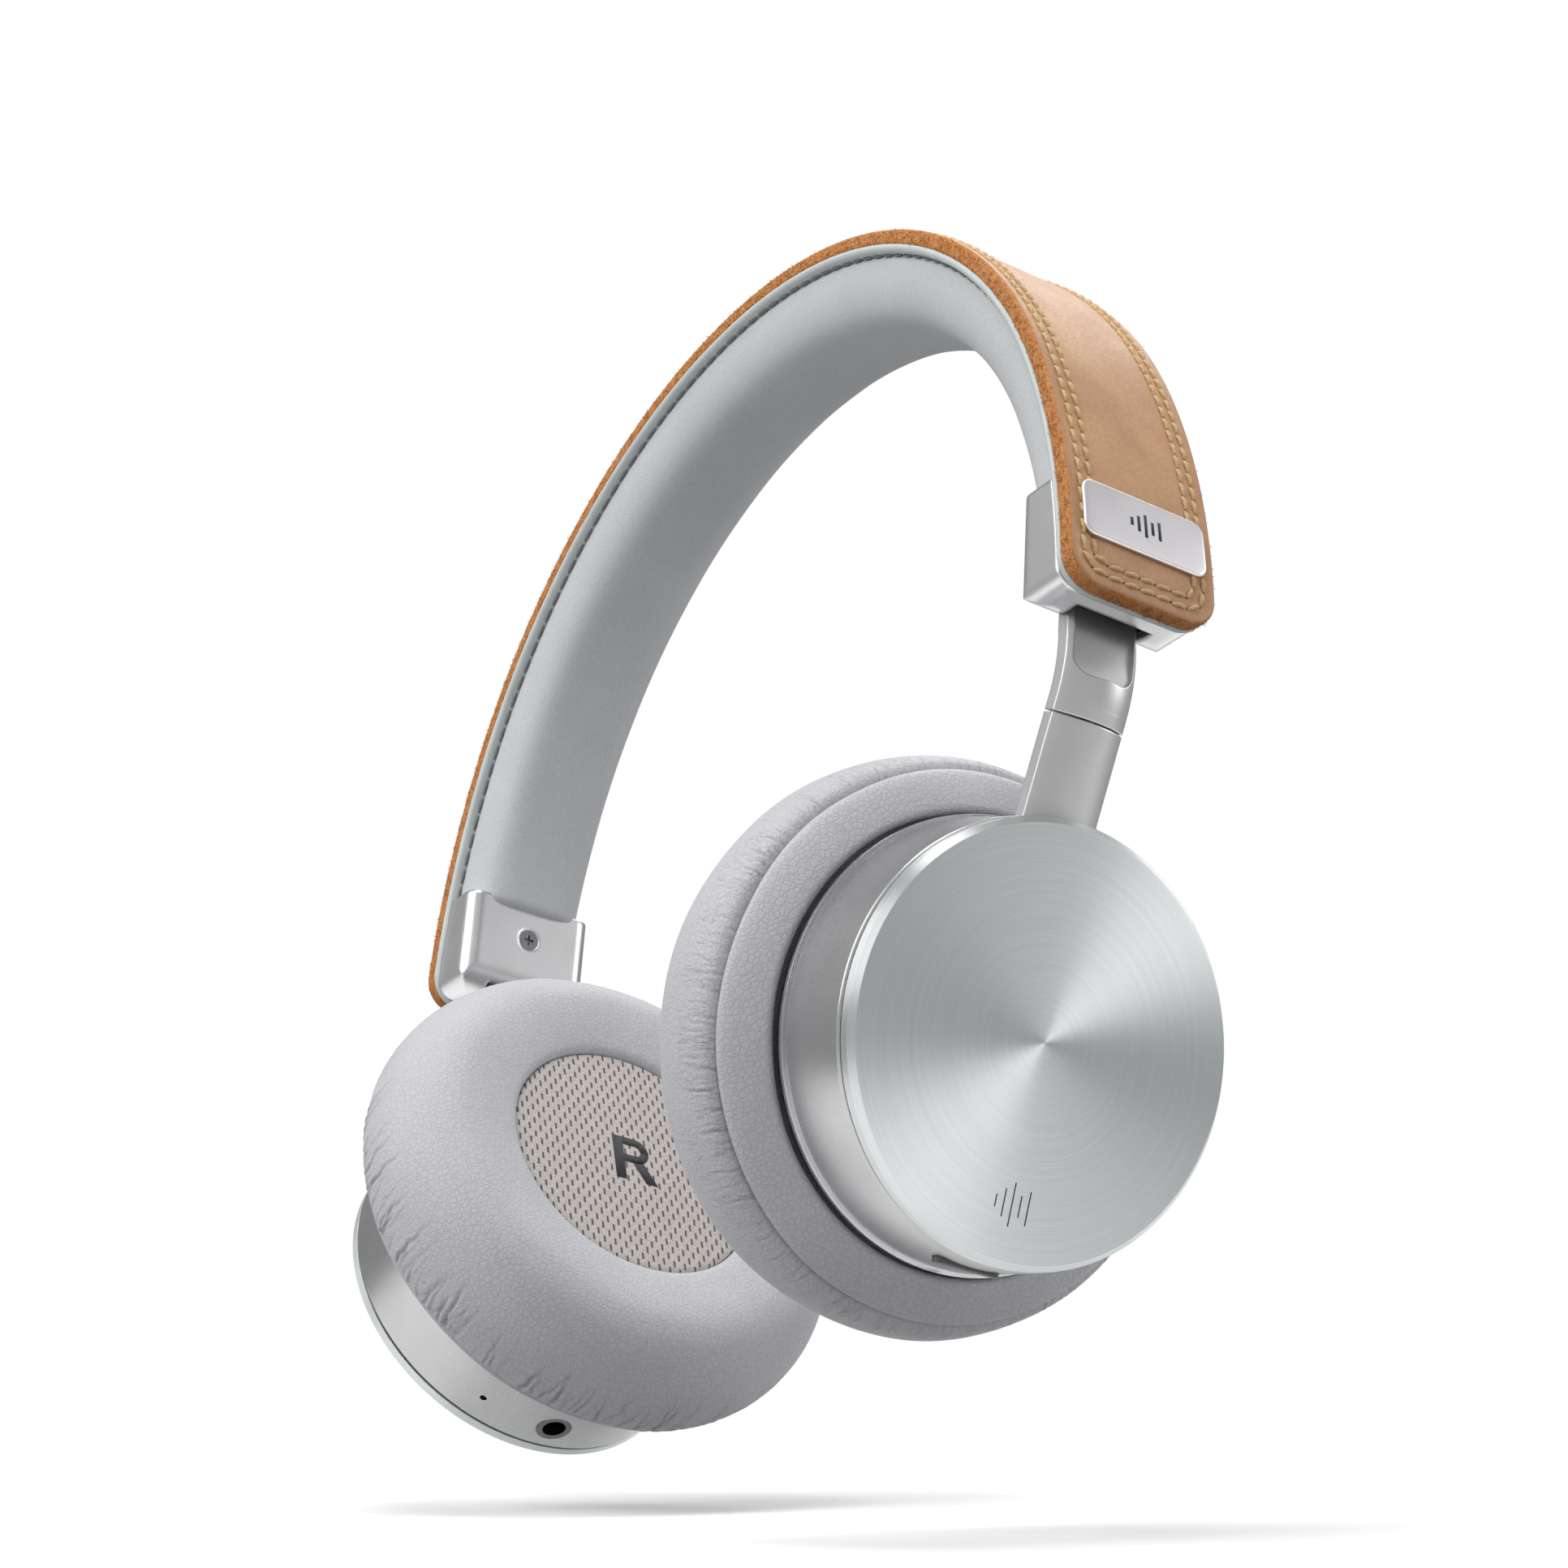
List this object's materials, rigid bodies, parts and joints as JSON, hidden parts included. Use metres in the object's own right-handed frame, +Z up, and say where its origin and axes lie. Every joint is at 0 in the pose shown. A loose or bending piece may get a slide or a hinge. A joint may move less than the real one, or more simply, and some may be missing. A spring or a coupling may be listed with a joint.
{
  "type": "wireless headphones",
  "caption": "Wireless headphones with a padded leather headband and round metal ear cups that slide out, swivel flat and tilt.",
  "frame": {"origin": "middle of the padding's inner face at the crown, where the headband rests on the head", "axes": "+X towards the wearer's left, -Y towards the wearer's front, +Z up"},
  "size_m": [0.1814, 0.078, 0.1796],
  "materials": {
    "leather": "matte",
    "carrier": "satin",
    "padding": "matte",
    "spring_steel": "satin",
    "badge_metal": "satin",
    "arm_metal": "satin",
    "liner_plastic": "matte",
    "pin_steel": "satin",
    "cup_metal": "satin",
    "disc_metal": "satin",
    "trim_metal": "polished",
    "inner_plastic": "matte",
    "magnet": "satin",
    "diaphragm_film": "satin",
    "cushion": "matte",
    "foam": "matte",
    "mesh_cloth": "matte",
    "screw_metal": "satin",
    "battery_wrap": "satin",
    "circuit_board": "satin",
    "socket_metal": "satin",
    "key_plastic": "satin",
    "jack_metal": "satin"
  },
  "bodies": {
    "headband": {"leather_strap": "leather", "strap_carrier": "carrier", "headband_padding": "padding", "spring_band": "spring_steel", "badge": "badge_metal", "end_cap_l": "arm_metal", "end_cap_r": "arm_metal", "slide_liner_l": "liner_plastic", "slide_liner_r": "liner_plastic", "cap_screws": "screw_metal", "detent_springs": "spring_steel"},
    "slider_l": {"upper_arm_l": "arm_metal"},
    "slider_r": {"upper_arm_r": "arm_metal"},
    "yoke_l": {"lower_arm_l": "arm_metal", "swivel_pin_l": "pin_steel"},
    "yoke_r": {"lower_arm_r": "arm_metal", "swivel_pin_r": "pin_steel"},
    "cup_l": {"cup_shell_l": "cup_metal", "outer_disc_l": "disc_metal", "trim_ring_l": "trim_metal", "tilt_bracket_l": "pin_steel", "tilt_pin_l": "pin_steel", "bracket_screws_l": "pin_steel", "baffle_l": "inner_plastic", "driver_frame_l": "inner_plastic", "driver_magnet_l": "magnet", "diaphragm_l": "diaphragm_film", "cushion_plate_l": "inner_plastic", "ear_cushion_l": "cushion", "foam_disc_l": "foam", "ear_mesh_l": "mesh_cloth", "battery": "battery_wrap", "charge_board": "circuit_board", "charge_socket": "socket_metal", "key_switch": "inner_plastic"},
    "key": {"control_key": "key_plastic"},
    "cup_r": {"cup_shell_r": "cup_metal", "outer_disc_r": "disc_metal", "trim_ring_r": "trim_metal", "tilt_bracket_r": "pin_steel", "tilt_pin_r": "pin_steel", "bracket_screws_r": "pin_steel", "baffle_r": "inner_plastic", "driver_frame_r": "inner_plastic", "driver_magnet_r": "magnet", "diaphragm_r": "diaphragm_film", "cushion_plate_r": "inner_plastic", "ear_cushion_r": "cushion", "foam_disc_r": "foam", "ear_mesh_r": "mesh_cloth", "main_board": "circuit_board", "jack_socket": "inner_plastic", "jack_ring": "jack_metal", "microphone": "socket_metal"}
  },
  "joints": [
    {"name": "slide_l", "type": "slide", "parent": "headband", "child": "slider_l", "axis": [0, 0, -1], "range_m": [-0.0016, 0.0184]},
    {"name": "swivel_l", "type": "hinge", "parent": "slider_l", "child": "yoke_l", "pos_m": [0.07859, 0, -0.09391], "axis": [-0.4147, 0, -0.91], "range_deg": [-10, 90]},
    {"name": "tilt_l", "type": "hinge", "parent": "yoke_l", "child": "cup_l", "pos_m": [0.06968, 0, -0.11347], "axis": [0, 1, 0], "range_deg": [-5, 8]},
    {"name": "slide_r", "type": "slide", "parent": "headband", "child": "slider_r", "axis": [0, 0, -1], "range_m": [-0.0002, 0.0198]},
    {"name": "swivel_r", "type": "hinge", "parent": "slider_r", "child": "yoke_r", "pos_m": [-0.07859, 0, -0.09251], "axis": [-0.4147, 0, 0.91], "range_deg": [-10, 90]},
    {"name": "tilt_r", "type": "hinge", "parent": "yoke_r", "child": "cup_r", "pos_m": [-0.06968, 0, -0.11207], "axis": [0, -1, 0], "range_deg": [-8.5, 4.5]},
    {"name": "key_press", "type": "slide", "parent": "cup_l", "child": "key", "axis": [0.2924, 0, 0.9563], "range_m": [0, 0.0004], "stiffness_N_per_m": 900, "springref_m": -0.001}
  ]
}
